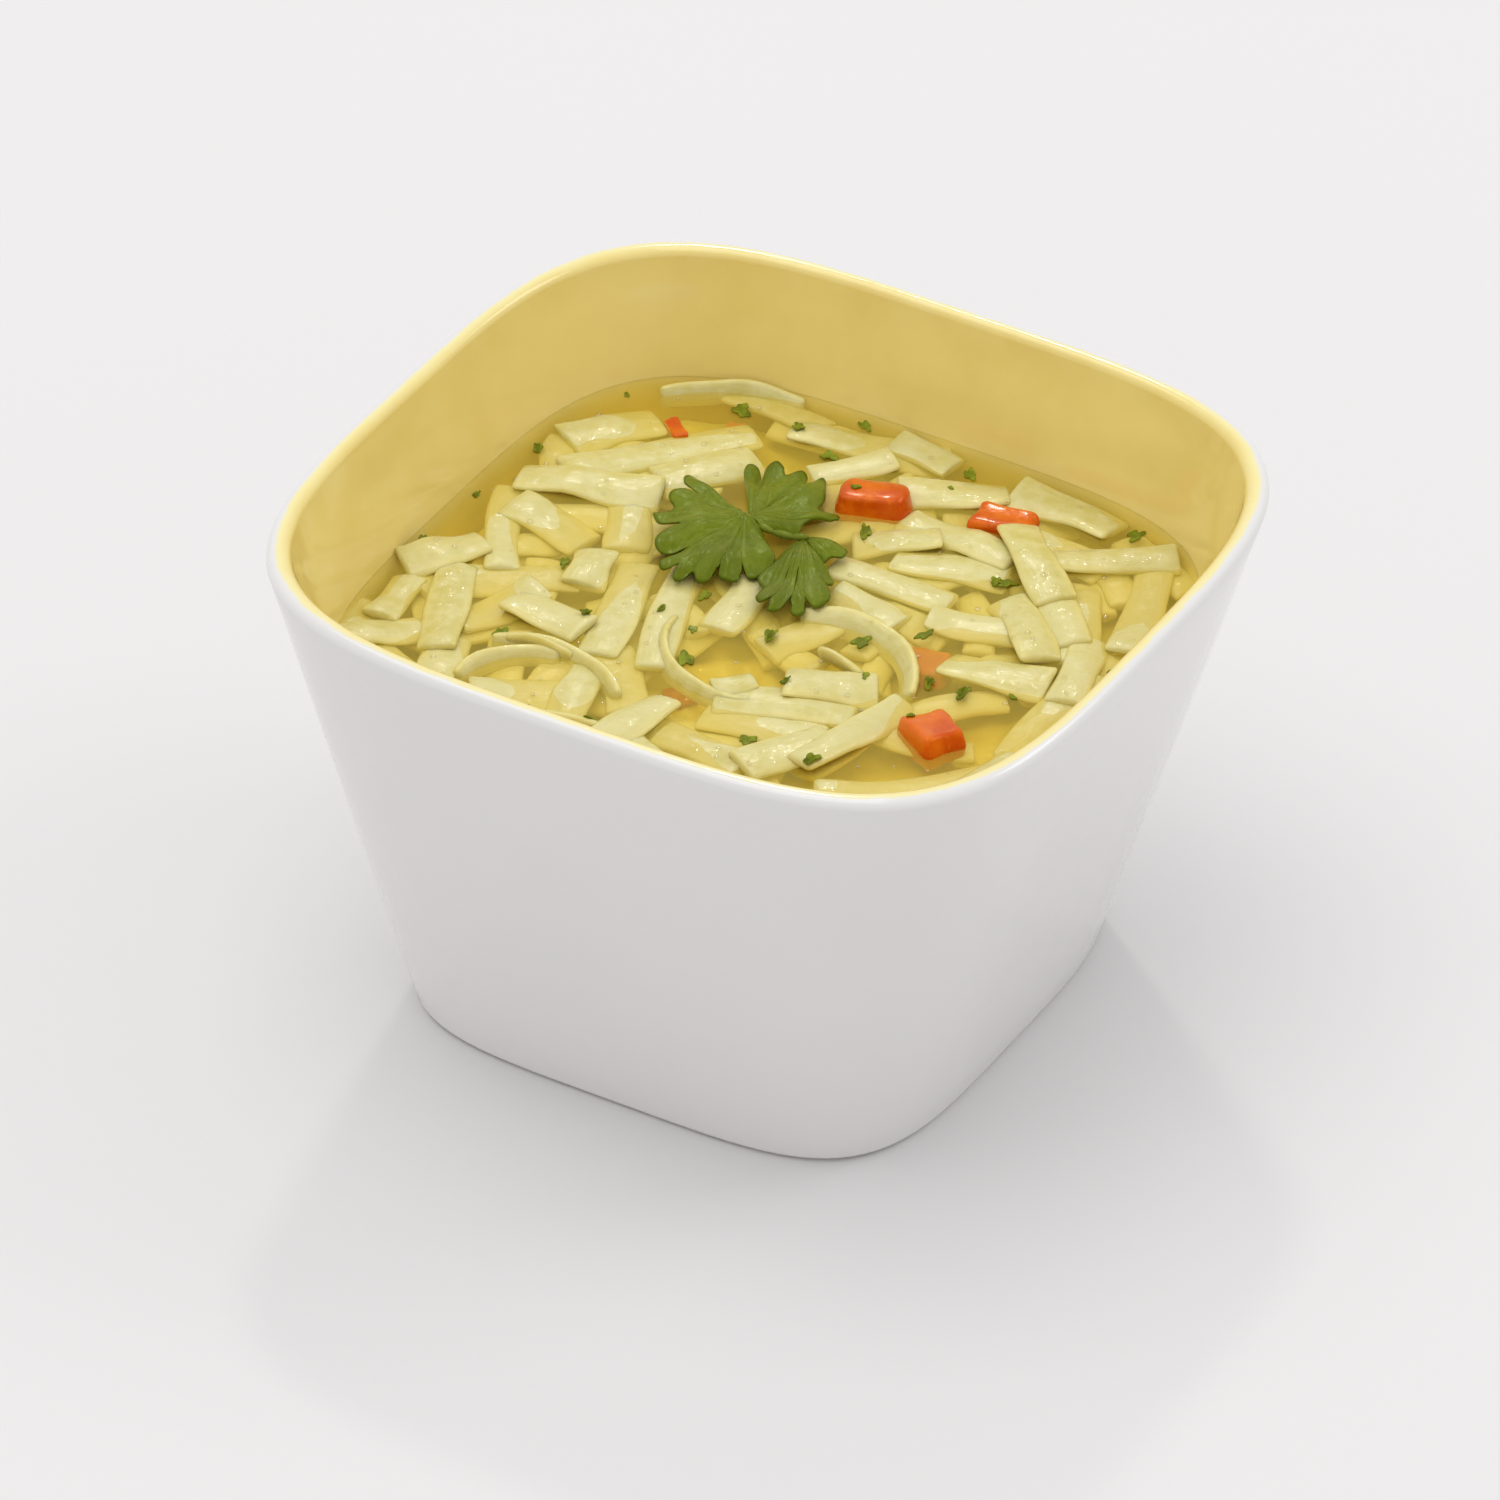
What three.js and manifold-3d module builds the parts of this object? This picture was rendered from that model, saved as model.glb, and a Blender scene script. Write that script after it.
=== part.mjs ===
// Chicken noodle soup in a square porcelain bowl.
// Millimetres, +Z up, origin at the centre of the underside, X and Y along the bowl's sides.
// The bowl is a straight-tapered square with full corners. It holds clear broth, a mat of short
// flat noodles that breaks the surface, three pieces of diced carrot and a sprig of parsley on top.

import * as THREE from 'three';
import { mergeVertices } from 'three/addons/utils/BufferGeometryUtils.js';
import Module from 'manifold-3d';

const wasm = await Module();
wasm.setup();

// Driving dimensions
const GAP = 0.3;                 // clearance between pieces that touch
const BOWL_HEIGHT = 72.4;
const RIM_HALF_X = 56.5;         // outside, at the rim
const RIM_HALF_Y = 58.2;
const BASE_HALF_X = 39.2;        // outside, where the walls would meet the table
const BASE_HALF_Y = 38.9;
const RIM_SQUARENESS = 3.8;      // exponent of the outline: 2 is an ellipse, more is squarer
const BASE_SQUARENESS = 4.3;
const RIM_WALL = 2.8;            // wall thickness across, at the rim and at the base
const BASE_WALL = 6.2;
const HEEL_RADIUS = 1.2;         // rounding between the wall and the underside
const FOOT_WIDTH = 5.5;          // flat ring that the bowl stands on
const FOOT_RECESS = 1.0;
const FLOOR_THICKNESS = 5.0;
const FLOOR_FILLET = 11.0;       // rounding between the inside wall and the inside floor
const BROTH_LEVEL = 55.0;        // height of the broth above the table
const MENISCUS = 0.5;            // rise of the broth at the wall
const NOODLE_DEPTH = 9.0;        // how far the noodle mat reaches below the broth level
const MAT_CREST = 0.75;          // mean height of the packed mat above the broth level
const MAT_RELIEF = 0.3;          // how far the mat's top rises and falls about that mean
const MAT_WAIST = 1.0;           // depth below the broth level where the mat is widest
const MAT_BOTTOM_SHARE = 0.93;   // width of the mat's bottom as a share of its widest
const TOP_NOODLES = 34;          // separate noodles that lie on the mat
const TOP_SPREAD = 0.8;          // how far out they lie, as a share of the cavity
const TOP_TURN = 1.9;            // radians from one noodle's heading to the next
const NOODLE_WIDTH = 4.6;
const NOODLE_THICKNESS = 1.3;
const NOODLE_LENGTHS = [13, 17, 21, 15, 24];
const NOODLE_BENDS = [-22, 8, 30, -10, 46, 0, -34];   // degrees from end to end
const NOODLE_TILTS = [2, -3, 2, -2, 3];               // degrees, one end up
const NOODLE_LAYERS = [0.7, 1.1, 1.5];                // height of the middle above the broth level
const CARROT_SQUARENESS = 7;     // how square the carrot's worn edges are
const PARSLEY_Z = 58.2;          // underside of the sprig
const LEAF_THICKNESS = 0.7;
const STALK_RADIUS = 0.8;
const STALK_LENGTH = 9.0;

const SEGMENTS = 64;             // points round each outline
const FILLET_STEPS = 4;
const MAT_RINGS = 5;
const GLAZE_WHITE = 0xecebe9;
const BROTH_GOLD = 0xc79f3a;
const NOODLE_CREAM = 0xe6dc9e;
const CARROT_ORANGE = 0xe8590f;
const PARSLEY_GREEN = 0x5f7a24;

// A point on a square-round outline, at an angle from +X.
function outlinePoint(halfX, halfY, squareness, angle) {
  const c = Math.cos(angle);
  const s = Math.sin(angle);
  const reach = (Math.abs(c) ** squareness + Math.abs(s) ** squareness) ** (-1 / squareness);
  return [halfX * reach * c, halfY * reach * s];
}

function mix(a, b, share) {
  return a + (b - a) * share;
}

// The outline of the bowl's outside at a height, drawn in by an inset.
function outsideRing(z, inset) {
  const share = z / BOWL_HEIGHT;
  return {
    z,
    halfX: mix(BASE_HALF_X, RIM_HALF_X, share) - inset,
    halfY: mix(BASE_HALF_Y, RIM_HALF_Y, share) - inset,
    squareness: mix(BASE_SQUARENESS, RIM_SQUARENESS, share),
  };
}

// The outline of the cavity at a height: straight wall above, round fillet down to the floor.
function cavityRing(z, inset) {
  const wall = mix(BASE_WALL, RIM_WALL, z / BOWL_HEIGHT);
  const drop = Math.max(0, FLOOR_THICKNESS + FLOOR_FILLET - z);
  const fillet = FLOOR_FILLET - Math.sqrt(Math.max(0, FLOOR_FILLET ** 2 - drop ** 2));
  return outsideRing(z, wall + fillet + inset);
}

// Heights for the fillet's rings, evenly spaced round its quarter circle.
function filletHeights(steps) {
  const heights = [];
  for (let i = 0; i <= steps; i += 1) {
    const turn = (i / steps) * (Math.PI / 2);
    heights.push(FLOOR_THICKNESS + FLOOR_FILLET * (1 - Math.cos(turn)));
  }
  return heights;
}

// A closed body lofted through rings, with a point at each end on the axis.
function loftGeometry(startZ, rings, endZ, ringPoint) {
  const positions = [0, 0, startZ];
  for (const ring of rings) {
    for (let i = 0; i < SEGMENTS; i += 1) {
      positions.push(...ringPoint(ring, (i / SEGMENTS) * Math.PI * 2));
    }
  }
  positions.push(0, 0, endZ);
  const last = positions.length / 3 - 1;
  const indices = [];
  for (let i = 0; i < SEGMENTS; i += 1) {
    const next = (i + 1) % SEGMENTS;
    indices.push(0, 1 + next, 1 + i);
    for (let k = 0; k < rings.length - 1; k += 1) {
      const low = 1 + k * SEGMENTS;
      const high = low + SEGMENTS;
      indices.push(low + i, low + next, high + next);
      indices.push(low + i, high + next, high + i);
    }
    const top = 1 + (rings.length - 1) * SEGMENTS;
    indices.push(top + i, top + next, last);
  }
  const geometry = new THREE.BufferGeometry();
  geometry.setAttribute('position', new THREE.Float32BufferAttribute(positions, 3));
  geometry.setIndex(indices);
  return geometry;
}

function plainRingPoint(ring, angle) {
  const [x, y] = outlinePoint(ring.halfX, ring.halfY, ring.squareness, angle);
  return [x, y, ring.z];
}

function toSolid(geometry) {
  const bare = geometry.clone();
  bare.deleteAttribute('normal');
  bare.deleteAttribute('uv');
  const merged = mergeVertices(bare, 1e-4);
  const vertProperties = new Float32Array(merged.attributes.position.array);
  const triVerts = new Uint32Array(merged.index.array);
  return new wasm.Manifold(new wasm.Mesh({ numProp: 3, vertProperties, triVerts }));
}

function toGeometry(solid) {
  const mesh = solid.getMesh();
  const geometry = new THREE.BufferGeometry();
  geometry.setAttribute('position', new THREE.Float32BufferAttribute(mesh.vertProperties, 3));
  geometry.setIndex(Array.from(mesh.triVerts));
  return geometry;
}

function namedMesh(name, geometry, color, roughness) {
  const material = new THREE.MeshStandardMaterial({ color, roughness, metalness: 0 });
  const mesh = new THREE.Mesh(geometry, material);
  mesh.name = name;
  return mesh;
}

// Bowl: underside and foot, heel, straight outer wall, round lip, inner wall, fillet and floor.
function bowlGeometry() {
  const rings = [];
  rings.push(outsideRing(FOOT_RECESS, HEEL_RADIUS + FOOT_WIDTH + FOOT_RECESS));
  rings.push(outsideRing(0, HEEL_RADIUS + FOOT_WIDTH));
  const heelSteps = 3;
  for (let i = 0; i <= heelSteps; i += 1) {
    const turn = (i / heelSteps) * (Math.PI / 2);
    rings.push(outsideRing(HEEL_RADIUS * (1 - Math.cos(turn)), HEEL_RADIUS * (1 - Math.sin(turn))));
  }
  const lipRadius = RIM_WALL / 2;
  const lipZ = BOWL_HEIGHT - lipRadius;
  rings.push(outsideRing(mix(HEEL_RADIUS, lipZ, 0.5), 0));
  const lipSteps = 6;
  for (let i = 0; i <= lipSteps; i += 1) {
    const turn = (i / lipSteps) * Math.PI;
    const ring = outsideRing(lipZ, lipRadius * (1 - Math.cos(turn)));
    ring.z = lipZ + lipRadius * Math.sin(turn);
    rings.push(ring);
  }
  rings.push(cavityRing(BROTH_LEVEL, 0));
  for (const z of filletHeights(FILLET_STEPS).reverse()) {
    rings.push(cavityRing(z, 0));
  }
  return loftGeometry(FOOT_RECESS, rings, FLOOR_THICKNESS, plainRingPoint);
}

// Broth: fills the cavity up to its level, with a small rise at the wall.
function brothSolid() {
  const rings = filletHeights(FILLET_STEPS).map((z) => ({ ...cavityRing(z, GAP), z: z + GAP }));
  rings.push(cavityRing(BROTH_LEVEL, GAP));
  rings.push(cavityRing(BROTH_LEVEL + MENISCUS, GAP));
  const inner = cavityRing(BROTH_LEVEL, GAP + 2 * MENISCUS);
  rings.push(inner);
  return toSolid(loftGeometry(FLOOR_THICKNESS + GAP, rings, BROTH_LEVEL, plainRingPoint));
}

// How far the noodle mat keeps from the wall: it wanders in slow and quick waves.
function matMargin(angle) {
  const slow = 1.3 * Math.sin(2 * angle + 0.6);
  const quick = 0.9 * Math.sin(7 * angle + 1.1) + 0.6 * Math.sin(13 * angle);
  return 3.4 + slow + quick;
}

// The mat's top: low crossing ridges.
function matTop(x, y) {
  const ridgeA = Math.sin((x * 0.9 + y * 0.4) / 3.6);
  const ridgeB = Math.sin((y * 0.9 - x * 0.5) / 4.3 + 1.7);
  return BROTH_LEVEL + MAT_CREST + (MAT_RELIEF / 2) * (ridgeA + ridgeB);
}

// The packed mat of noodles, or the room that it needs when grown by a clearance.
function matSolid(grow) {
  const edge = cavityRing(BROTH_LEVEL, GAP);
  const floorZ = BROTH_LEVEL - NOODLE_DEPTH - grow;
  const rings = [{ share: MAT_BOTTOM_SHARE, floor: true }, { share: 1, waist: true }];
  for (let i = MAT_RINGS; i > 0; i -= 1) {
    rings.push({ share: i / MAT_RINGS });
  }
  const ringPoint = (ring, angle) => {
    const [edgeX, edgeY] = outlinePoint(edge.halfX, edge.halfY, edge.squareness, angle);
    const reach = Math.hypot(edgeX, edgeY);
    const radius = (reach - matMargin(angle) + grow) * ring.share;
    const x = (edgeX / reach) * radius;
    const y = (edgeY / reach) * radius;
    if (ring.floor) {
      return [x, y, floorZ];
    }
    return [x, y, ring.waist ? BROTH_LEVEL - MAT_WAIST : matTop(x, y) + grow];
  };
  return toSolid(loftGeometry(floorZ, rings, matTop(0, 0) + grow, ringPoint));
}

// One flat noodle, bent along its length and set down level at the origin.
function stripGeometry(length, bend, grow) {
  const pieces = 4;
  const size = [length + 2 * grow, NOODLE_WIDTH + 2 * grow, NOODLE_THICKNESS + 2 * grow];
  const geometry = new THREE.BoxGeometry(size[0], size[1], size[2], pieces, 1, 1);
  const position = geometry.attributes.position;
  const turn = THREE.MathUtils.degToRad(bend);
  for (let i = 0; i < position.count; i += 1) {
    const along = position.getX(i);
    const across = position.getY(i);
    const angle = turn * (along / length);
    const radius = Math.abs(turn) > 0.01 ? length / turn : 1e5;
    const x = (radius - across) * Math.sin(angle);
    const y = radius - (radius - across) * Math.cos(angle);
    position.setXYZ(i, x, y, position.getZ(i));
  }
  return geometry;
}

// The noodles on the mat, spread evenly by the golden angle, each with its own lie.
function topNoodles(grow) {
  const edge = cavityRing(BROTH_LEVEL, GAP);
  const goldenAngle = Math.PI * (3 - Math.sqrt(5));
  const strips = [];
  for (let i = 0; i < TOP_NOODLES; i += 1) {
    const length = NOODLE_LENGTHS[i % NOODLE_LENGTHS.length];
    const strip = stripGeometry(length, NOODLE_BENDS[i % NOODLE_BENDS.length], grow);
    strip.rotateY(THREE.MathUtils.degToRad(NOODLE_TILTS[i % NOODLE_TILTS.length]));
    strip.rotateZ(i * TOP_TURN);
    const angle = i * goldenAngle;
    const [edgeX, edgeY] = outlinePoint(edge.halfX, edge.halfY, edge.squareness, angle);
    const share = TOP_SPREAD * Math.sqrt((i + 0.5) / TOP_NOODLES);
    const lift = BROTH_LEVEL + NOODLE_LAYERS[i % NOODLE_LAYERS.length];
    strip.translate(edgeX * share, edgeY * share, lift);
    strips.push(toSolid(strip));
  }
  return strips;
}

// The whole heap: the mat with the top noodles joined on, kept clear of the bowl's wall.
function noodleSolid(grow) {
  const rings = [-1, 1].map((side) => {
    const ring = cavityRing(BROTH_LEVEL, 2 * GAP - grow);
    return { ...ring, z: BROTH_LEVEL + side * 2 * NOODLE_DEPTH };
  });
  const room = toSolid(loftGeometry(rings[0].z, rings, rings[1].z, plainRingPoint));
  const heap = topNoodles(grow).reduce((sum, strip) => sum.add(strip), matSolid(grow));
  return heap.intersect(room);
}

// A diced carrot: a block with worn edges, wider at one end, set at a tilt.
const CARROTS = [
  { name: 'carrot_rear', size: [6.6, 9.8, 5.4], taper: 0.3, at: [30.8, 1.4, 55.0], turn: 16, tilt: 6 },
  { name: 'carrot_right', size: [5.2, 8.4, 4.8], taper: 0.2, at: [36.0, -15.8, 54.5], turn: 8, tilt: -5 },
  { name: 'carrot_front', size: [8.2, 6.4, 5.6], taper: 0.1, at: [-11.9, -31.8, 54.8], turn: 55, tilt: 9 },
];

function carrotGeometry(carrot, grow) {
  const [width, depth, height] = carrot.size.map((side) => side + 2 * grow);
  const geometry = new THREE.BoxGeometry(2, 2, 2, 4, 4, 4);
  const position = geometry.attributes.position;
  for (let i = 0; i < position.count; i += 1) {
    const p = [position.getX(i), position.getY(i), position.getZ(i)];
    const power = p.reduce((sum, value) => sum + Math.abs(value) ** CARROT_SQUARENESS, 0);
    const round = power ** (-1 / CARROT_SQUARENESS);
    const narrowing = 1 + carrot.taper * 0.5 * p[1] * round;
    position.setXYZ(
      i,
      p[0] * round * narrowing * (width / 2),
      p[1] * round * (depth / 2),
      p[2] * round * (height / 2),
    );
  }
  geometry.rotateY(THREE.MathUtils.degToRad(carrot.tilt));
  geometry.rotateZ(THREE.MathUtils.degToRad(carrot.turn));
  geometry.translate(...carrot.at);
  return geometry;
}

// A solid less the room that the carrots need.
function cutForCarrots(solid) {
  return CARROTS.reduce((rest, carrot) => rest.subtract(toSolid(carrotGeometry(carrot, GAP))), solid);
}

// Parsley: flat blades held together by a short stalk. Each margin starts and ends at its joint and
// runs round the lobes, in millimetres from the sprig's own corner.
const SPRIG_AT = [3.0, 1.6];
const LEAFLETS = [
  {
    lift: 0.4,
    margin: [
      [12.9, 11.0], [13.7, 14.0], [14.7, 16.6], [17.7, 21.0], [18.1, 22.6], [17.0, 22.9], [15.4, 21.7],
      [14.3, 18.9], [14.1, 21.0], [13.1, 22.2], [11.6, 22.1], [10.1, 20.8], [8.2, 22.5], [7.1, 21.6],
      [6.5, 20.3], [7.4, 17.9], [4.4, 19.1], [2.5, 19.0], [1.3, 17.8], [1.7, 16.1], [5.0, 14.2],
      [-0.6, 15.7], [-2.4, 15.5], [-2.8, 14.4], [-0.8, 13.6], [-3.1, 13.0], [-3.0, 11.9], [-0.8, 11.4],
      [-1.6, 10.1], [-0.7, 9.1], [1.6, 9.1], [5.8, 10.2], [2.0, 9.0], [0.6, 7.9], [0.5, 6.5], [2.0, 5.7],
      [5.0, 7.3], [3.0, 5.0], [4.0, 3.9], [5.8, 3.7], [7.6, 4.0], [9.0, 5.0], [10.6, 6.5], [12.2, 8.2],
    ],
  },
  {
    lift: 0.2,
    margin: [
      [13.2, 10.4], [12.6, 8.6], [13.2, 6.6], [13.9, 4.6], [15.2, 4.0], [18.2, 4.0], [19.6, 2.9],
      [20.9, 1.4], [21.9, 2.0], [21.0, 4.2], [23.4, 4.9], [25.4, 5.9], [27.8, 7.1], [28.9, 8.4],
      [20.8, 8.9], [25.2, 9.5], [27.4, 9.9], [27.8, 11.0], [25.8, 12.0], [26.9, 13.2], [27.5, 14.6],
      [26.2, 15.2], [24.2, 14.5], [20.6, 13.0], [24.0, 15.1], [25.4, 16.5], [24.9, 17.5], [23.3, 17.0],
      [21.4, 15.3], [19.6, 13.4], [18.0, 12.3], [15.8, 11.9], [13.8, 11.5],
    ],
  },
  {
    lift: 0,
    margin: [
      [13.4, 2.2], [11.4, 3.0], [9.8, 3.6], [7.8, 3.7], [6.0, 3.2], [5.0, 1.4], [3.4, 3.3], [2.1, 2.8],
      [1.3, 1.7], [0.4, 0.8], [-1.7, 1.0], [-2.3, -0.2], [-0.5, -1.0], [-3.0, -1.4], [-2.8, -2.4],
      [-1.3, -2.8], [1.8, -2.8], [-1.1, -3.9], [-1.4, -5.1], [-0.3, -5.7], [1.5, -4.6], [0.6, -6.6],
      [2.0, -7.5], [3.7, -7.2], [5.0, -5.0], [6.5, -5.9], [8.0, -5.0], [8.6, -3.7], [6.6, -2.5],
      [10.2, -1.6], [11.6, -2.9], [12.3, -4.1], [13.8, -4.0], [14.6, -2.8], [15.0, -1.2], [14.9, 0.6],
    ],
  },
];

function bladeSolid(leaflet) {
  const shape = new THREE.Shape(leaflet.margin.map(([x, y]) => new THREE.Vector2(x, y)));
  const geometry = new THREE.ExtrudeGeometry(shape, { depth: LEAF_THICKNESS, bevelEnabled: false });
  geometry.translate(SPRIG_AT[0], SPRIG_AT[1], PARSLEY_Z + leaflet.lift);
  return toSolid(geometry);
}

function parsleyGeometry() {
  const stalk = new THREE.CylinderGeometry(STALK_RADIUS, STALK_RADIUS, STALK_LENGTH, 10);
  stalk.translate(SPRIG_AT[0] + 13.0, SPRIG_AT[1] + 6.6, PARSLEY_Z + STALK_RADIUS);
  const sprig = LEAFLETS.reduce((sum, leaflet) => sum.add(bladeSolid(leaflet)), toSolid(stalk));
  return toGeometry(cutForCarrots(sprig));
}

const soup = new THREE.Group();
soup.add(namedMesh('bowl', bowlGeometry(), GLAZE_WHITE, 0.12));
const broth = cutForCarrots(brothSolid().subtract(noodleSolid(GAP)));
soup.add(namedMesh('broth', toGeometry(broth), BROTH_GOLD, 0.08));
soup.add(namedMesh('noodles', toGeometry(cutForCarrots(noodleSolid(0))), NOODLE_CREAM, 0.35));
for (const carrot of CARROTS) {
  soup.add(namedMesh(carrot.name, carrotGeometry(carrot, 0), CARROT_ORANGE, 0.3));
}
soup.add(namedMesh('parsley_sprig', parsleyGeometry(), PARSLEY_GREEN, 0.5));

export default soup;
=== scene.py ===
import math
import random

import bpy
import numpy as np
from mathutils import Matrix, Quaternion, Vector
from mathutils.bvhtree import BVHTree


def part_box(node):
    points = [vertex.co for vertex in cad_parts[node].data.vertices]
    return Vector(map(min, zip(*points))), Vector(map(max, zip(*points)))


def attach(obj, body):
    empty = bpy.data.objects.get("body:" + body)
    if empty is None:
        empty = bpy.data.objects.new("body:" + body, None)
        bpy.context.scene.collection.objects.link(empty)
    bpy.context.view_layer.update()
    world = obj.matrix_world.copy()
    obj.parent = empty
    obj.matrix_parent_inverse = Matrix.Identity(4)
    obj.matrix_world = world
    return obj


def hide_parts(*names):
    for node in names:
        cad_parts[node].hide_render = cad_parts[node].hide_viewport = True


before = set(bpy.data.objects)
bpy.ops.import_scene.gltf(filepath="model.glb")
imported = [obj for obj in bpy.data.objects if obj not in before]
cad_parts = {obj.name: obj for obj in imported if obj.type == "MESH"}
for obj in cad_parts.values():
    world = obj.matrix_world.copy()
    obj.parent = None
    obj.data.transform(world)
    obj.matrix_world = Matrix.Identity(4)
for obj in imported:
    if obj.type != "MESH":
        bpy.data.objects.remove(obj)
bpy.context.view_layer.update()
bpy.ops.object.select_all(action="DESELECT")

# ---- Camera -------------------------------------------------------------------------------------
# A long lens from about two metres off, looking down on one corner of the bowl, so that the rim,
# two outer walls and the whole surface of the soup are in view. Its horizon is tipped a little.
MM = 0.001
camera_aim = Vector((-8.5, -2.5, 40.0)) * MM
camera_distance = 1814 * MM
camera_azimuth = math.radians(60.8)
camera_elevation = math.radians(35.54)
camera_roll = math.radians(1.3)

look = Vector((
    math.sin(camera_azimuth) * math.cos(camera_elevation),
    math.cos(camera_azimuth) * math.cos(camera_elevation),
    -math.sin(camera_elevation),
))
camera_data = bpy.data.cameras.new("soup_camera")
camera_data.sensor_width = 36
camera_data.lens = 328.7
camera_data.clip_start = 0.05
camera = bpy.data.objects.new("soup_camera", camera_data)
bpy.context.scene.collection.objects.link(camera)
camera.location = camera_aim - look * camera_distance
level_view = look.to_track_quat("-Z", "Y")
camera.rotation_mode = "QUATERNION"
camera.rotation_quaternion = level_view @ Quaternion((0, 0, 1), camera_roll)
bpy.context.scene.camera = camera

# ---- Bowl ---------------------------------------------------------------------------------------
# Slip-cast porcelain: straight tapered walls on a square-round outline, a round lip and a flat foot
# ring. It is glazed white outside and ochre yellow inside, and the two glazes meet on the lip.
bowl_low, bowl_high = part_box("bowl")
bowl_height = (bowl_high.z - bowl_low.z) / MM
lip_radius = 1.4
rim_half_x = 56.499
rim_half_y = 58.199
base_half_x = 39.2
base_half_y = 38.9
rim_squareness = 3.8
base_squareness = 4.3
rim_wall = 2 * lip_radius
base_wall = 6.2
heel_radius = 1.2
foot_width = 5.5
foot_recess = 1.0
bowl_floor = 5.0
floor_fillet = 11.0
spin_steps = 176


def mix(a, b, share):
    return a + (b - a) * share


def outer_half(z):
    """Half the bowl's outside width along X at a height, in millimetres."""
    return mix(base_half_x, rim_half_x, z / bowl_height)


def cavity_half(z):
    """Half the cavity's width along X at a height: straight wall, then a fillet to the floor."""
    drop = max(0.0, bowl_floor + floor_fillet - z)
    fillet = floor_fillet - math.sqrt(max(0.0, floor_fillet ** 2 - drop ** 2))
    return outer_half(z) - mix(base_wall, rim_wall, z / bowl_height) - fillet


def spin_profile(name, profile, steps):
    """A round body turned from a profile of (radius, height) points that starts and ends on the axis."""
    bpy.ops.object.select_all(action="DESELECT")
    bpy.ops.mesh.primitive_plane_add(size=MM)
    piece = bpy.context.object
    piece.name = name
    bpy.ops.object.mode_set(mode="EDIT")
    bpy.ops.mesh.merge(type="CENTER")
    bpy.ops.transform.translate(value=(profile[0][0] * MM, 0, profile[0][1] * MM))
    for (r0, z0), (r1, z1) in zip(profile, profile[1:]):
        step = {"value": ((r1 - r0) * MM, 0, (z1 - z0) * MM)}
        bpy.ops.mesh.extrude_vertices_move(TRANSFORM_OT_translate=step)
    bpy.ops.mesh.select_all(action="SELECT")
    bpy.ops.mesh.spin(steps=steps, angle=2 * math.pi, center=(0, 0, 0), axis=(0, 0, 1))
    bpy.ops.mesh.select_all(action="SELECT")
    bpy.ops.mesh.remove_doubles(threshold=0.004 * MM)
    bpy.ops.mesh.normals_make_consistent(inside=False)
    bpy.ops.object.mode_set(mode="OBJECT")
    bpy.ops.object.transform_apply()
    bpy.ops.object.shade_smooth()
    return piece


def square_off(piece):
    """Pulls a round body out to the bowl's square-round outline, height by height."""
    for vertex in piece.data.vertices:
        x, y, z = vertex.co
        radius = math.hypot(x, y)
        if radius < 1e-7:
            continue
        share = z / MM / bowl_height
        squareness = mix(base_squareness, rim_squareness, share)
        stretch = mix(base_half_y, rim_half_y, share) / mix(base_half_x, rim_half_x, share)
        c, s = x / radius, y / radius
        reach = (abs(c) ** squareness + abs(s) ** squareness) ** (-1 / squareness)
        vertex.co = (radius * reach * c, radius * reach * s * stretch, z)


def arc(centre, radius, start, end, steps):
    """Points round part of a circle, from one angle in degrees to another."""
    turns = [math.radians(mix(start, end, i / steps)) for i in range(steps + 1)]
    return [(centre[0] + radius * math.cos(t), centre[1] + radius * math.sin(t)) for t in turns]


lip_z = bowl_height - lip_radius
bowl_profile = [(0, foot_recess)]
bowl_profile += [(base_half_x * k, foot_recess) for k in (0.25, 0.5, 0.7)]
foot_inner = outer_half(0) - heel_radius - foot_width
bowl_profile += [(foot_inner - 1.0, foot_recess), (foot_inner - 0.3, 0.3), (foot_inner, 0)]
bowl_profile += [(foot_inner + foot_width * 0.5, 0)]
for i in range(9):
    heel_turn = i / 8 * math.pi / 2
    heel_z = heel_radius * (1 - math.cos(heel_turn))
    heel_inset = heel_radius * (1 - math.sin(heel_turn))
    bowl_profile.append((outer_half(heel_z) - heel_inset, heel_z))
wall_heights = [mix(heel_radius, lip_z, i / 16) for i in range(1, 16)]
bowl_profile += [(outer_half(z), z) for z in wall_heights]
bowl_profile += arc((outer_half(lip_z) - lip_radius, lip_z), lip_radius, 0, 180, 14)
fillet_top = bowl_floor + floor_fillet
bowl_profile += [(cavity_half(z), z) for z in (mix(lip_z, fillet_top, i / 14) for i in range(1, 15))]
for i in range(1, 11):
    fillet_z = fillet_top - floor_fillet * math.sin(i / 10 * math.pi / 2)
    bowl_profile.append((cavity_half(fillet_z), fillet_z))
bowl_profile += [(cavity_half(bowl_floor) * k, bowl_floor) for k in (0.7, 0.4, 0)]

bowl = spin_profile("bowl_porcelain", bowl_profile, spin_steps)
glaze = bowl.data.attributes.new("glaze_inside", "FLOAT", "POINT")
for vertex in bowl.data.vertices:
    x, y, z = vertex.co / MM
    past_crown = outer_half(z) - lip_radius - math.hypot(x, y)
    glaze.data[vertex.index].value = past_crown if z > bowl_floor / 2 else -floor_fillet
square_off(bowl)


def new_material(name):
    """A material whose only node besides the output is a Principled shader, and that shader."""
    material = bpy.data.materials.new(name)
    material.use_nodes = True
    return material, material.node_tree.nodes["Principled BSDF"]


def add_node(material, kind, inputs=(), **settings):
    """A node with its settings made, and its inputs given a value or linked to another's output."""
    made = material.node_tree.nodes.new(kind)
    for name, value in settings.items():
        setattr(made, name, value)
    for key, value in dict(inputs).items():
        if isinstance(value, bpy.types.NodeSocket):
            material.node_tree.links.new(value, made.inputs[key])
        else:
            made.inputs[key].default_value = value
    return made


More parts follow.
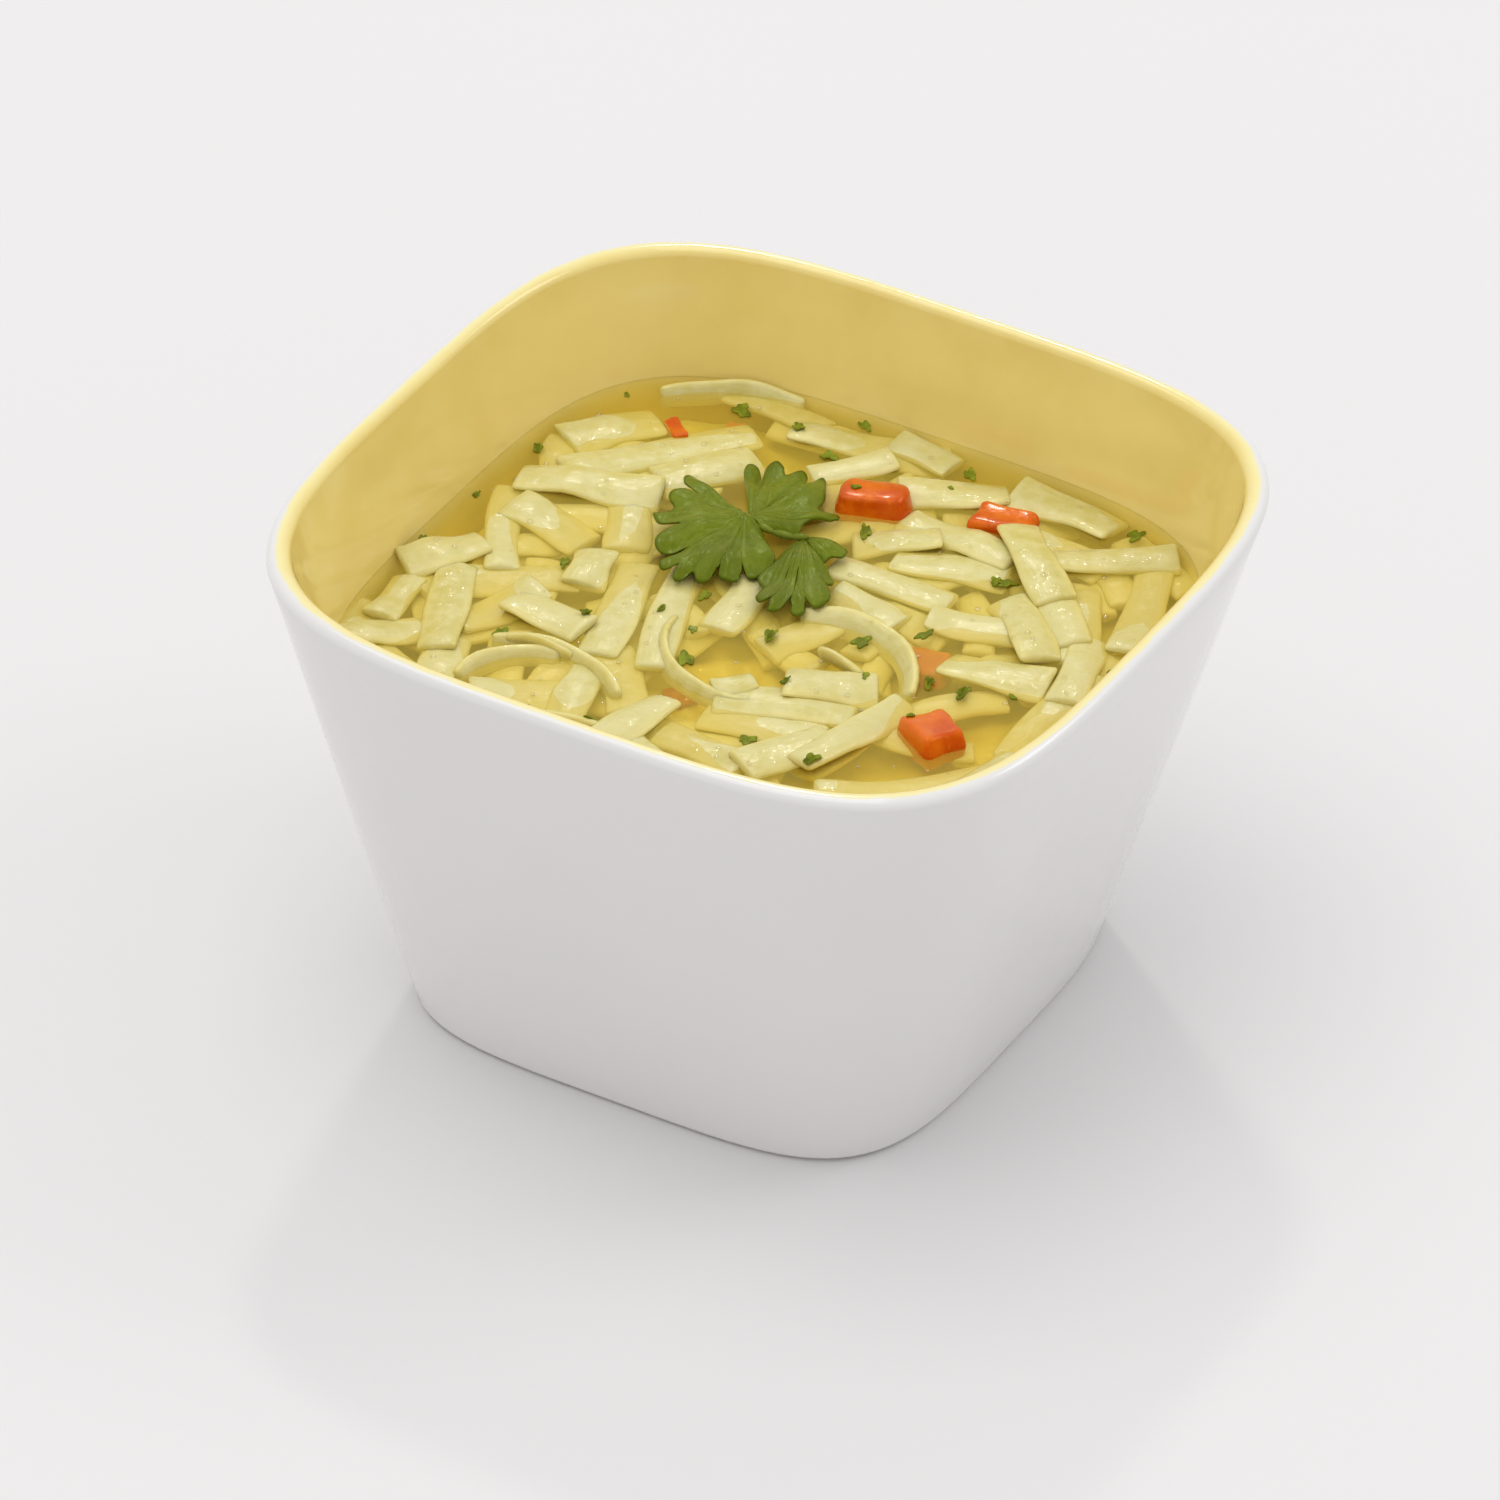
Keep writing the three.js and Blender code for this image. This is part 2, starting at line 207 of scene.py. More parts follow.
def noise(material, scale, detail=3.0, vector=None, rough=0.5):
    """Noise on object coordinates, scale in features to the metre, or on a given vector."""
    where = vector or add_node(material, "ShaderNodeTexCoord").outputs["Object"]
    inputs = {"Vector": where, "Scale": scale, "Detail": detail, "Roughness": rough}
    return add_node(material, "ShaderNodeTexNoise", inputs).outputs["Fac"]


def remap(material, value, from_low, from_high, to_low=0.0, to_high=1.0):
    """A value eased from one range into another."""
    inputs = {0: value, 1: from_low, 2: from_high, 3: to_low, 4: to_high}
    return add_node(material, "ShaderNodeMapRange", inputs, interpolation_type="SMOOTHSTEP").outputs[0]


def blend(material, share, a, b):
    """Colour a turning into colour b by a share."""
    made = add_node(material, "ShaderNodeMix", {0: share, 6: a, 7: b}, data_type="RGBA")
    return made.outputs[2]


def add_math(material, operation, a, b):
    return add_node(material, "ShaderNodeMath", {0: a, 1: b}, operation=operation).outputs[0]


def attribute(material, name):
    return add_node(material, "ShaderNodeAttribute", attribute_name=name).outputs["Fac"]


def bump(material, height, strength, distance):
    inputs = {"Height": height, "Strength": strength, "Distance": distance}
    return add_node(material, "ShaderNodeBump", inputs).outputs["Normal"]


def link(material, socket, target):
    material.node_tree.links.new(socket, target)


porcelain, porcelain_shader = new_material("glazed_porcelain_white_and_ochre")
white_share = noise(porcelain, 24)
white_glaze = blend(porcelain, white_share, (0.775, 0.765, 0.75, 1), (0.805, 0.795, 0.78, 1))
ochre_share = remap(porcelain, noise(porcelain, 55, 4), 0.35, 0.65)
ochre_glaze = blend(porcelain, ochre_share, (0.83, 0.65, 0.203, 1), (0.87, 0.70, 0.24, 1))
lip_wander = remap(porcelain, noise(porcelain, 260, 2), 0.3, 0.7, -0.12, 0.12)
past_crown = add_math(porcelain, "ADD", attribute(porcelain, "glaze_inside"), lip_wander)
# Painted light: a paler ochre band just inside the crown of the lip, where its upward curve catches more
# light.
lip_painted_light_share = remap(porcelain, past_crown, 0.1, 1.6)
ochre_with_painted_lip_light = blend(porcelain, lip_painted_light_share, (0.88, 0.79, 0.385, 1), ochre_glaze)
inside_share = remap(porcelain, past_crown, -0.3, 0.25)
glaze_colour = blend(porcelain, inside_share, white_glaze, ochre_with_painted_lip_light)
link(porcelain, glaze_colour, porcelain_shader.inputs["Base Color"])
porcelain_shader.inputs["Roughness"].default_value = 0.11
porcelain_shader.inputs["IOR"].default_value = 1.5
porcelain_shader.inputs["Coat Weight"].default_value = 0.25
porcelain_shader.inputs["Coat Roughness"].default_value = 0.04
glaze_waves = noise(porcelain, 70, 2)
link(porcelain, bump(porcelain, glaze_waves, 0.12, 0.0006), porcelain_shader.inputs["Normal"])
bowl.data.materials.append(porcelain)
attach(bowl, "root")
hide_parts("bowl")

# ---- Broth --------------------------------------------------------------------------------------
# Clear golden chicken broth. It fills the cavity to its level and creeps up the wall a little. Its
# body reaches just into the glaze, so that no air shows between them.
broth_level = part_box("broth")[1].z / MM - 0.5
creep_height = 0.4
creep_reach = 1.8
into_wall = 0.12

broth_profile = [(0, bowl_floor - into_wall)]
broth_profile += [(cavity_half(bowl_floor) * k, bowl_floor - into_wall) for k in (0.5, 0.9)]
for i in range(9):
    fillet_z = bowl_floor + floor_fillet * (1 - math.cos(i / 8 * math.pi / 2))
    broth_profile.append((cavity_half(fillet_z) + into_wall, fillet_z))
broth_profile += [(cavity_half(z) + into_wall, z) for z in (30, 45, broth_level + creep_height)]
for i in range(1, 8):
    away = i / 7
    creep_z = broth_level + creep_height * (1 - away) ** 3
    broth_profile.append((cavity_half(broth_level) - creep_reach * away, creep_z))
broth_profile += [(cavity_half(broth_level) * k, broth_level) for k in (0.8, 0.55, 0.3, 0)]
broth = spin_profile("broth_liquid", broth_profile, 112)
square_off(broth)

broth_clear, _ = new_material("clear_golden_broth")
broth_nodes = broth_clear.node_tree.nodes
broth_nodes.remove(broth_nodes["Principled BSDF"])
ripple = bump(broth_clear, noise(broth_clear, 140, 2), 0.25, 0.0006)
see_through = add_node(broth_clear, "ShaderNodeBsdfTransparent")
wet_shine = add_node(broth_clear, "ShaderNodeBsdfGlossy", {"Roughness": 0.03, "Normal": ripple})
cloud = add_node(broth_clear, "ShaderNodeBsdfDiffuse", {"Color": (0.90, 0.70, 0.09, 1)})
clear_body = add_node(broth_clear, "ShaderNodeMixShader", {0: 0.28})
link(broth_clear, see_through.outputs[0], clear_body.inputs[1])
link(broth_clear, cloud.outputs[0], clear_body.inputs[2])


def mirror_share(material, normal=None):
    """The share of light a water-like surface mirrors: two hundredths square on, all at a glance."""
    facing = add_node(material, "ShaderNodeLayerWeight", {"Normal": normal} if normal else ())
    glance = add_math(material, "POWER", facing.outputs["Facing"], 5.0)
    return remap(material, glance, 0, 1, 0.022, 1.0)


broth_skin = add_node(broth_clear, "ShaderNodeMixShader", {0: mirror_share(broth_clear, ripple)})
link(broth_clear, clear_body.outputs[0], broth_skin.inputs[1])
link(broth_clear, wet_shine.outputs[0], broth_skin.inputs[2])
broth_depth = add_node(
    broth_clear, "ShaderNodeVolumeAbsorption", {"Color": (0.975, 0.85, 0.0, 1), "Density": 130}
)
broth_output = broth_nodes["Material Output"]
link(broth_clear, broth_skin.outputs[0], broth_output.inputs["Surface"])
link(broth_clear, broth_depth.outputs[0], broth_output.inputs["Volume"])
broth.data.materials.append(broth_clear)
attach(broth, "root")
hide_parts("broth")

# ---- Noodle core --------------------------------------------------------------------------------
# The bottom of the noodle heap, sunk in the broth. Only glimpses of it show between the
# noodles, as pale ridges under golden liquid.
core_top = broth_level - 4.2
core_bottom = broth_level - 8.9
core_half = cavity_half(core_top) - 0.8
core_profile = [(0, core_bottom), (core_half * 0.5, core_bottom), (core_half - 1, core_bottom)]
core_profile += arc((core_half - 1.5, (core_top + core_bottom) / 2), 1.5, -60, 60, 6)
core_profile += [(core_half * k / 24, core_top) for k in range(23, -1, -1)]
core = spin_profile("noodle_core", core_profile, 96)
square_off(core)
for vertex in core.data.vertices:
    if vertex.co.z > (core_top - 0.5) * MM:
        x, y = vertex.co.x / MM, vertex.co.y / MM
        ridges = math.sin((x * 0.8 + y * 0.6) / 0.9) + math.sin((y - x * 0.7) / 1.1 + 1)
        vertex.co.z += 0.35 * ridges * MM

# ---- Noodles ------------------------------------------------------------------------------------
# Short cut egg noodles, boiled soft: flat ribbons with rounded edges, pale cream-yellow and wet.
# They lie across each other in the broth, most of them flat, a few standing on edge in a curl.
noodle_length = 16.0
noodle_width = 4.8
noodle_thickness = 1.35
noodle_edge_round = 0.55
noodle_sections = 12
end_droop = 0.7
soft_press = 0.6
steepest_flat_roll = 40
straightest_turn = 0.02
drape_passes = 12

bpy.ops.object.select_all(action="DESELECT")
bpy.ops.mesh.primitive_cube_add(size=1)
noodle = bpy.context.object
noodle.name = "noodle_blank"
noodle.scale = (noodle_length * MM, noodle_width * MM, noodle_thickness * MM)
bpy.ops.object.transform_apply()
bpy.ops.object.mode_set(mode="EDIT")
bpy.ops.mesh.select_all(action="SELECT")
bpy.ops.mesh.bevel(offset=noodle_edge_round * MM, segments=2, affect="EDGES")
for axis, size, cuts in ((0, noodle_length, noodle_sections - 1), (1, noodle_width, 2)):
    bpy.ops.mesh.select_mode(type="EDGE")
    bpy.ops.mesh.select_all(action="DESELECT")
    bpy.ops.object.mode_set(mode="OBJECT")
    for edge in noodle.data.edges:
        a, b = (noodle.data.vertices[i].co for i in edge.vertices)
        edge.select = abs(a[axis] - b[axis]) > size * MM / 2
    bpy.ops.object.mode_set(mode="EDIT")
    bpy.ops.mesh.subdivide(number_cuts=cuts)
bpy.ops.mesh.select_mode(type="VERT")
bpy.ops.object.mode_set(mode="OBJECT")
bpy.ops.object.shade_smooth()

blank = np.empty(len(noodle.data.vertices) * 3)
noodle.data.vertices.foreach_get("co", blank)
blank = blank.reshape(-1, 3) / MM

# How high things lie so far, on a square grid over the soup, so that each noodle rests on the last.
relief_pitch = 0.5
relief_reach = 52.0
relief_size = int(2 * relief_reach / relief_pitch)
relief = np.full((relief_size, relief_size), core_top + 0.3)
under_ceiling = broth_level - 1.15


def relief_index(points):
    """The relief's cells that hold the given points."""
    cells = ((points + relief_reach) / relief_pitch).astype(int)
    return np.clip(cells, 0, relief_size - 1)


def inside_cavity(x, y, margin):
    """True where a point is at least a margin inside the wall at the broth's level."""
    half_x = cavity_half(broth_level) - margin
    half_y = half_x * rim_half_y / rim_half_x
    return abs(x / half_x) ** rim_squareness + abs(y / half_y) ** rim_squareness < 1


def lay_noodle(name, x, y, heading, length, width, bend, lift, roll, rng, ceiling=math.inf):
    """Copies the blank, bends it and lays it down, draped over what already lies there.

    Returns nothing where the noodle would lie higher than the ceiling.
    """
    along = blank[:, 0] * length / noodle_length
    across = blank[:, 1] * width / noodle_width
    share = along / length
    across = across * (1 + 0.07 * np.sin(share * 7 + rng.uniform(0, 6)))
    swell = 1.2 - 0.65 * (2 * across / width) ** 2
    upward = blank[:, 2] * swell * rng.uniform(0.88, 1.12)
    turn = math.radians(bend)
    lies_flat = abs(roll) < steepest_flat_roll
    twist = rng.uniform(-0.5, 0.5) if lies_flat else rng.uniform(-0.2, 0.2)
    roll_here = math.radians(roll) + twist * share + rng.uniform(-0.07, 0.07)
    side = across * np.cos(roll_here) - upward * np.sin(roll_here)
    height = across * np.sin(roll_here) + upward * np.cos(roll_here)
    side = side + rng.uniform(-0.25, 0.25) * np.sin(share * 5 + rng.uniform(0, 6))
    radius = length / turn if abs(turn) > straightest_turn else length / straightest_turn
    angle = length * share / radius
    path_x = (radius - side) * np.sin(angle)
    path_y = radius - (radius - side) * np.cos(angle)
    face = math.radians(heading)
    placed_x = x + path_x * math.cos(face) - path_y * math.sin(face)
    placed_y = y + path_x * math.sin(face) + path_y * math.cos(face)

    steps = np.linspace(-0.5, 0.5, noodle_sections + 1)
    step_angle = length * steps / radius
    line_x = radius * np.sin(step_angle)
    line_y = radius - radius * np.cos(step_angle)
    sides = np.linspace(-0.42, 0.42, 5) * width * abs(math.cos(math.radians(roll)))
    grid_x = line_x[:, None] - np.sin(step_angle)[:, None] * sides[None, :]
    grid_y = line_y[:, None] + np.cos(step_angle)[:, None] * sides[None, :]
    spots = np.stack([
        x + grid_x * math.cos(face) - grid_y * math.sin(face),
        y + grid_x * math.sin(face) + grid_y * math.cos(face),
    ], axis=-1)
    cells = relief_index(spots)
    middle = broth_level + lift - end_droop * (2 * steps) ** 2
    middle += rng.uniform(0.1, 0.3) * np.sin(steps * length * 0.5 + rng.uniform(0, 6))
    if lies_flat:
        rest = relief[cells[..., 0], cells[..., 1]].max(axis=1) + noodle_thickness / 2 - soft_press
        middle = np.maximum(rest, middle)
        for _ in range(drape_passes):
            padded = np.pad(middle, 1, mode="edge")
            middle = np.maximum(0.25 * padded[:-2] + 0.5 * middle + 0.25 * padded[2:], rest)
        if middle.max() > ceiling:
            return None
        for reach_step in (-1, 0, 1):
            rows = np.clip(cells[..., 0] + reach_step, 0, relief_size - 1)
            top = (middle + noodle_thickness / 2)[:, None]
            relief[rows, cells[..., 1]] = np.maximum(relief[rows, cells[..., 1]], top)
    placed_z = np.interp(share, steps, middle) + height

    laid = noodle.copy()
    laid.data = noodle.data.copy()
    laid.name = name
    bpy.context.scene.collection.objects.link(laid)
    points = np.stack([placed_x, placed_y, placed_z], axis=1) * MM
    laid.data.vertices.foreach_set("co", points.ravel())
    for label, values in (
        ("shade", np.full(len(blank), rng.random())),
        ("across", across / width * 2),
        ("along", along),
    ):
        layer = laid.data.attributes.new(label, "FLOAT", "POINT")
        layer.data.foreach_set("value", values.astype(np.float32))
    return laid


# Open places where only broth shows: x, y and radius in millimetres.
broth_gaps = [(-13, 3, 5.5), (-11, -8, 4.0), (-5, -36, 5.5), (-22, -29, 5.0), (-21, 44, 2.5)]
broth_gaps += [(3.5, -22.5, 3.5), (5, 46.5, 4.0), (36, 36, 4.5), (36, 18, 3.0), (20, -41, 3.0)]
broth_gaps += [(24, 16, 3.5)]
gap_margin = 1.0

# The noodles under the broth, tried at random places and kept where they lie deep enough.
under_tries = 1600
wall_margin = 2.2
noodle_rng = random.Random(7)
laid_noodles = []
for _ in range(under_tries):
    x = noodle_rng.uniform(-46, 46)
    y = noodle_rng.uniform(-47, 47)
    heading = noodle_rng.uniform(0, 180)
    length = noodle_rng.uniform(10, 20)
    bend = noodle_rng.uniform(-45, 45)
    lift = noodle_rng.uniform(-3.0, -1.3)
    reach_x = math.cos(math.radians(heading)) * length / 2
    reach_y = math.sin(math.radians(heading)) * length / 2
    ends = [(x + k * reach_x, y + k * reach_y) for k in (-1, -0.5, 0, 0.5, 1)]
    if not all(inside_cavity(a, b, wall_margin) for a, b in ends):
        continue
    if any(math.dist(end, gap[:2]) < gap[2] + gap_margin for end in ends for gap in broth_gaps):
        continue
    width = noodle_rng.uniform(4.4, 6.2)
    name = f"noodle_under_{len(laid_noodles)}"
    roll = noodle_rng.uniform(-9, 9)
    lie = (x, y, heading, length, width, bend, lift, roll)
    laid = lay_noodle(name, *lie, noodle_rng, under_ceiling)
    if laid:
        laid_noodles.append(laid)

# The noodles on top, in the order they are laid: x and y of the middle, heading, length, width,
# bend from end to end, height of the middle above the broth, and roll about the noodle's own line.
TOP_NOODLES = [
    (-31.5, 41.5, 70, 14, 5.0, 8, -1.0, 0), (-26.5, 47.5, 20, 9, 4.6, 0, -1.0, 0),
    (-29.4, 42.6, -42, 13, 5.6, 0, -0.7, 0), (-21, 45, 8, 11, 4.8, 0, -1.2, 0),
    (-8.2, 33.5, -55, 16, 6, 6, -1.4, 0),
    (-15.2, 32.5, -24, 14, 6.3, 0, -1.4, 0), (10.3, 27.5, 30, 12, 6.3, 0, -1.9, 0),
    (18.8, 43.5, 22, 12, 4.7, -8, -1.6, 0), (0.8, 41.2, 27, 21, 4.9, -10, -0.9, 4),
    (5.2, 36.6, 82, 13, 6.9, 0, -1.1, 0), (44.8, 24, 84, 16, 4.9, 6, -0.9, 10),
    (43.1, 9, -76, 22, 6.3, 4, -0.8, 0), (-20.7, 10, 40, 15, 6, 10, -0.9, 0),
    (-31.2, 32, 15, 14, 5.8, 0, -1.4, 0), (-38.2, 23, 70, 17, 5.6, 12, -1.4, 0),
    (-30.7, 19.5, -62, 14, 6.7, -14, -0.8, 0), (-27.2, 13.5, 12, 12, 5.6, 0, -0.9, 0),
    (-40.2, 6, 95, 18, 5.8, -14, -1.1, 0), (-36.2, -3, 60, 15, 5.6, 0, -0.8, 0),
    (-41.2, -13, 100, 18, 5.4, 10, -1.1, 0), (-29.2, -7, 82, 14, 5.6, 10, -0.8, 0),
    (-20.7, -11, 96, 17, 6.3, 0, -0.9, 0), (-15.7, -11.5, -70, 19, 6.3, -8, -0.8, 0),
    (0.3, -5, -25, 12, 5.6, -10, -0.9, 0), (-37.2, -23, -62, 17, 5.6, 16, -1.4, 0),
    (-22.2, -35, -46, 27, 5.6, 26, -1.4, 0), (-31.2, -35.5, -46, 20, 5.4, 20, -1.4, 0),
    (0.8, -42, 1, 22, 5.4, 4, -1.1, 0), (-16.2, -42, -10, 14, 5.2, 8, -1.4, 0),
    (10.8, -15, 88, 13, 5.6, 0, -1.4, 0), (23.8, -14.5, -76, 16, 6.7, 6, -1.1, 0),
    (29.6, -12.5, 84, 18, 5.6, -6, -0.8, 0), (34.8, -25, 84, 15, 5.6, 8, -0.9, 0),
    (39.8, -37, 65, 15, 5.6, -10, -1.4, 0), (20.8, -35.8, 25, 18, 5.4, 6, -0.9, 0),
    (11.3, -41, 14, 16, 5.4, 6, -0.8, 0), (27.8, -41.3, 17, 21, 5.6, 8, -0.8, 0),
    (36.1, -32.8, -57, 17, 5.6, 6, -0.6, 0), (23.3, -30.5, 43, 21, 5.6, 0, -0.8, 0),
    (28.8, -24.5, 46, 18, 6, -6, -0.5, 0), (10, -9.5, 80, 12, 5.2, 0, -0.8, 0),
    (25.1, -5.5, -58, 12, 5.6, 0, -0.5, 0), (15.8, -9.8, 91, 18, 5.4, -4, -0.2, 0),
    (13.4, -24, -74, 13, 5.6, 6, -0.5, 0), (15.8, -30.3, 47, 16, 5.8, 4, -0.1, 0),
    (5.2, -31.8, 95, 15, 6.7, -6, -0.2, 0), (45, 1.5, 84, 10, 5.2, 0, -0.2, 0),
    (36.8, 8, -42, 12, 4.9, 6, -0.2, 0), (38.6, -6.6, -57, 15, 6.7, 0, -0, 0),
    (43.1, -21.3, 88, 16, 6.9, 4, -0.1, 0), (27, 32.2, -39, 28, 6.7, -5, -0.5, 0),
    (28.6, 40.6, -33, 14, 7.2, -14, -0.6, 0), (26.3, 24.4, -38, 15, 7.2, 6, -0.1, 0),
    (14.6, 36, -73, 20, 6.7, 4, -0.2, 0), (-19.7, 37.8, 22, 20, 5.8, -6, -0.5, 0),
    (-9.4, 44.4, -36, 12, 6.7, 0, -0.1, 0), (-7.7, 18.2, 15, 23, 6, 4, -0.5, 0),
    (-14.4, 25.2, 84, 12.5, 6.5, 4, -0.1, 0), (-1.8, 26.2, 16, 8.5, 5.8, 0, 0.2, 0),
    (-6.2, 11.8, 17, 24, 5.2, -14, -0.1, 6), (1.3, 5.3, 4, 13, 5.8, 0, -0.2, 0),
    (-29.2, 3.6, -8, 14, 6, -8, -0.1, 0), (-25, -17, -28, 14, 6.7, -6, -0, 0),
    (-16.7, -23, -12, 22, 4.9, 14, -0.5, 8), (-9.4, -15, -63, 12.5, 6.9, 6, 0.2, 0),
    (-16.2, -4.2, -42, 6, 3.8, 0, -0, 8), (-20.7, 18.0, -97, 22.5, 3.4, -75, -0.1, 72),
    (-25.3, 25.9, -40, 15.5, 3.4, -90, -0.2, 72), (-20.8, 22.4, 96, 10, 4.2, 10, -0.1, 70),
    (-16.9, 4.7, 238, 27, 3.2, 115, -0.1, 70), (3.9, -15.8, -112, 26, 4.2, -110, -0.1, 58),
    (-3.5, -13.4, 78, 7.5, 3.8, 0, 0.1, 60), (44.6, 31, -66, 20, 3.4, -46, -0.2, 70),
    (-34.2, 13, 100, 16, 3.4, -30, -0.2, 66), (-39.2, -29, -60, 14, 3.4, 30, -0.3, 66),
]
for i, lie in enumerate(TOP_NOODLES):
    laid_noodles.append(lay_noodle(f"noodle_top_{i}", *lie, noodle_rng))

bpy.ops.object.select_all(action="DESELECT")
for laid in laid_noodles:
    laid.select_set(True)
bpy.context.view_layer.objects.active = laid_noodles[0]
bpy.ops.object.join()
noodles = bpy.context.object
noodles.name = "noodles_laid"
bpy.data.objects.remove(noodle)

noodle_dough, noodle_shader = new_material("boiled_egg_noodle")
dough_share = attribute(noodle_dough, "shade")
dough = blend(noodle_dough, dough_share, (0.605, 0.53, 0.15, 1), (0.68, 0.615, 0.245, 1))
mottle = remap(noodle_dough, noise(noodle_dough, 420, 4), 0.3, 0.7)
dough = blend(noodle_dough, mottle, dough, (0.70, 0.635, 0.28, 1))
edge_share = remap(
    noodle_dough, add_math(noodle_dough, "ABSOLUTE", attribute(noodle_dough, "across"), 0), 0.55, 1.0
)
dough = blend(noodle_dough, add_math(noodle_dough, "MULTIPLY", edge_share, 0.4), dough,
              (0.80, 0.69, 0.21, 1))
# Painted light: below the broth's level the noodles are painted paler the deeper they lie, down to two
# millimetres under. This stands in for the light that reaches them through the translucent noodles above.
place = add_node(noodle_dough, "ShaderNodeTexCoord").outputs["Object"]
height = add_node(noodle_dough, "ShaderNodeSeparateXYZ", {0: place}).outputs["Z"]
sunk_painted_light_share = remap(
    noodle_dough, height, (broth_level - 2.0) * MM, (broth_level + 0.2) * MM, 1.0, 0.0
)
dough = blend(noodle_dough, sunk_painted_light_share, dough, (0.86, 0.76, 0.33, 1))
link(noodle_dough, dough, noodle_shader.inputs["Base Color"])
noodle_shader.inputs["Roughness"].default_value = 0.3
noodle_shader.inputs["IOR"].default_value = 1.4
noodle_shader.inputs["Subsurface Weight"].default_value = 0.4
noodle_shader.inputs["Subsurface Radius"].default_value = (1.0, 1.0, 0.9)
noodle_shader.inputs["Subsurface Scale"].default_value = 0.45 * MM
noodle_shader.inputs["Coat Weight"].default_value = 0.5
noodle_shader.inputs["Coat Roughness"].default_value = 0.08
grain_place = add_node(noodle_dough, "ShaderNodeCombineXYZ", {
    0: add_math(noodle_dough, "MULTIPLY", attribute(noodle_dough, "along"), 0.25),
    1: add_math(noodle_dough, "MULTIPLY", attribute(noodle_dough, "across"), 1.8),
    2: add_math(noodle_dough, "MULTIPLY", dough_share, 40.0),
})
grain = noise(noodle_dough, 2.0, 3, grain_place.outputs[0])
soft_lumps = noise(noodle_dough, 260, 3)
surface = add_math(noodle_dough, "ADD", grain, soft_lumps)
link(noodle_dough, bump(noodle_dough, surface, 0.2, 0.0005), noodle_shader.inputs["Normal"])
wet_film = bump(noodle_dough, noise(noodle_dough, 520, 3), 0.6, 0.0008)
link(noodle_dough, wet_film, noodle_shader.inputs["Coat Normal"])
for piece in (noodles, core):
    piece.data.materials.clear()
    piece.data.materials.append(noodle_dough)
    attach(piece, "root")
    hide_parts("noodles")

# ---- Diced carrot -------------------------------------------------------------------------------
# Cooked carrot cut into small blocks with worn edges, orange-red and wet. Three of them stand out of
# the broth, and a few smaller bits lie sunk in it or just at its surface, between the noodles.
carrot_dice = {
    # size along X, Y and Z, taper, place, turn and tilt
    "carrot_rear": ((6.6, 9.8, 5.4), 0.3, (30.8, 1.4, 54.9), 16, 6),
    "carrot_right": ((5.2, 8.4, 4.8), 0.2, (36.0, -15.8, 54.2), 8, -5),
    "carrot_front": ((8.2, 6.4, 5.6), 0.1, (-11.9, -31.8, 54.6), 55, 9),
}
sunk_bits = [
    ((7.4, 6.0, 3.0), 0.0, (3.4, -22.4, 53.2), 20, 4), ((5.0, 2.2, 2.6), 0.0, (32.8, 33.2, 53.9), 48, 6),
    ((4.4, 3.8, 2.4), 0.2, (-16.4, 3.6, 50.6), 60, 0), ((3.0, 2.6, 2.4), 0.0, (38.2, 27.0, 53.0), 15, 6),
]


def cut_carrot(name, size, taper, place, turn, tilt, rng):
    """A block with worn edges, narrower at one end, its faces left uneven by the knife."""
    bpy.ops.object.select_all(action="DESELECT")
    bpy.ops.mesh.primitive_cube_add(size=2)
    block = bpy.context.object
    block.name = name
    bpy.ops.object.mode_set(mode="EDIT")
    bpy.ops.mesh.select_all(action="SELECT")
    bpy.ops.mesh.bevel(offset=0.3, segments=4, affect="EDGES")
    bpy.ops.mesh.select_all(action="SELECT")
    bpy.ops.mesh.subdivide(number_cuts=3)
    bpy.ops.object.mode_set(mode="OBJECT")
    phase = [rng.uniform(0, 6) for _ in range(3)]
    for vertex in block.data.vertices:
        x, y, z = vertex.co
        uneven = 0.055 * (math.sin(3.1 * x + phase[0]) + math.sin(2.7 * y + phase[1]) +
                          math.sin(3.7 * z + phase[2]))
        grow = (1 + uneven) * 0.97
        narrow = 1 + taper * 0.5 * y
        vertex.co = (x * grow * narrow * size[0] / 2, y * grow * size[1] / 2, z * grow * size[2] / 2)
    placing = Matrix.Translation(Vector(place) * MM)
    placing @= Matrix.Rotation(math.radians(turn), 4, "Z") @ Matrix.Rotation(math.radians(tilt), 4, "Y")
    block.data.transform(placing @ Matrix.Scale(MM, 4))
    bpy.ops.object.shade_smooth()
    return block


carrot_flesh, carrot_shader = new_material("cooked_carrot")
fibre = noise(carrot_flesh, 900, 4)
flesh_share = remap(carrot_flesh, noise(carrot_flesh, 240, 3), 0.35, 0.65)
flesh = blend(carrot_flesh, flesh_share, (0.60, 0.075, 0.001, 1), (0.74, 0.15, 0.003, 1))
flesh = blend(carrot_flesh, remap(carrot_flesh, fibre, 0.55, 0.75, 0, 0.35), flesh, (0.84, 0.25, 0.01, 1))
link(carrot_flesh, flesh, carrot_shader.inputs["Base Color"])
link(carrot_flesh, bump(carrot_flesh, fibre, 0.4, 0.0003), carrot_shader.inputs["Normal"])
carrot_shader.inputs["Roughness"].default_value = 0.22
carrot_shader.inputs["Specular IOR Level"].default_value = 0.35
carrot_shader.inputs["Specular Tint"].default_value = (1.0, 0.45, 0.1, 1)
carrot_shader.inputs["Subsurface Weight"].default_value = 0.2
carrot_shader.inputs["Subsurface Radius"].default_value = (1.0, 0.3, 0.08)
carrot_shader.inputs["Subsurface Scale"].default_value = 1.5 * MM
carrot_shader.inputs["Coat Weight"].default_value = 0.3
carrot_shader.inputs["Coat Roughness"].default_value = 0.08
carrot_rng = random.Random(3)
carrots = []
